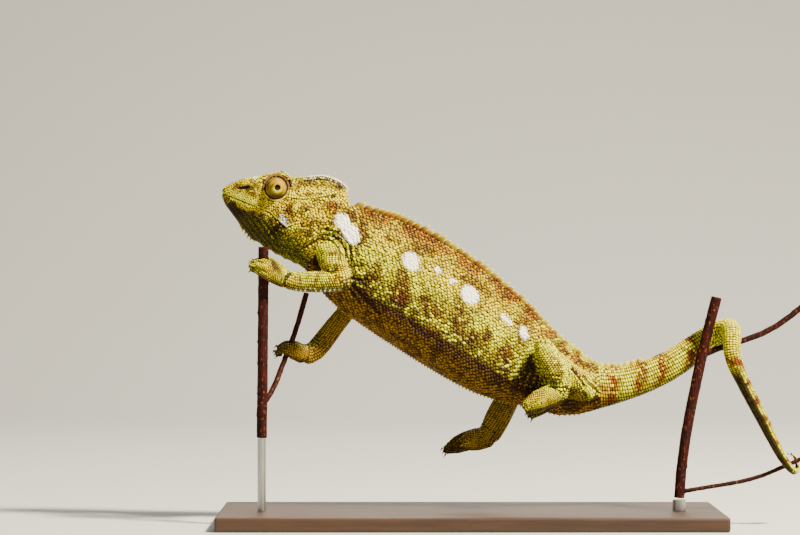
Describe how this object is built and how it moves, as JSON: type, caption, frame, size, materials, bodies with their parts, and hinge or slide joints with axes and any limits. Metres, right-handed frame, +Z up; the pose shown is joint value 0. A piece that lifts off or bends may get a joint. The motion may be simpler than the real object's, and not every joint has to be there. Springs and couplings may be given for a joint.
{
  "type": "chameleon",
  "caption": "Life-size model of a giant chameleon climbing between two cut stems, feet and tail gripping them, on a flat display base with short rods",
  "frame": {"origin": "middle of the underside of the display base, on the surface it stands on", "axes": "+X from the snout to the tail, +Z up, the animal's left side faces -Y"},
  "size_m": [0.2809, 0.1, 0.1696],
  "materials": {
    "skin": "dry, fine beaded scales, yellow-green flanks, olive belly, rust patches and white side spots",
    "eye": "glossy dark eye in the opening of the scaly turret",
    "bark": "smooth dark red-brown bark with pale specks",
    "stand_wood": "satin dark-stained hardwood",
    "stand_metal": "brushed steel rod"
  },
  "bodies": {
    "root": {"eye_left": "eye", "eye_right": "eye", "forefoot_left_inner": "skin", "forefoot_left_outer": "skin", "forefoot_right_inner": "skin", "forefoot_right_outer": "skin", "foreleg_left_lower": "skin", "foreleg_left_upper": "skin", "foreleg_right_lower": "skin", "foreleg_right_upper": "skin", "head": "skin", "hindfoot_left_inner": "skin", "hindfoot_left_outer": "skin", "hindfoot_right_inner": "skin", "hindfoot_right_outer": "skin", "hindleg_left_lower": "skin", "hindleg_left_upper": "skin", "hindleg_right_lower": "skin", "hindleg_right_upper": "skin", "hips": "skin", "lower_jaw": "skin", "neck": "skin", "perch_front_fork": "bark", "perch_front_stem": "bark", "perch_rear_branch": "bark", "perch_rear_stem": "bark", "perch_rear_twig": "bark", "stand_base": "stand_wood", "stand_rod_front": "stand_metal", "stand_rod_rear": "stand_metal", "tail_1": "skin", "tail_2": "skin", "tail_3": "skin", "tail_4": "skin", "tail_5": "skin", "tail_6": "skin", "tail_7": "skin", "tail_8": "skin", "tail_tip": "skin", "trunk": "skin"}
  },
  "joints": []
}
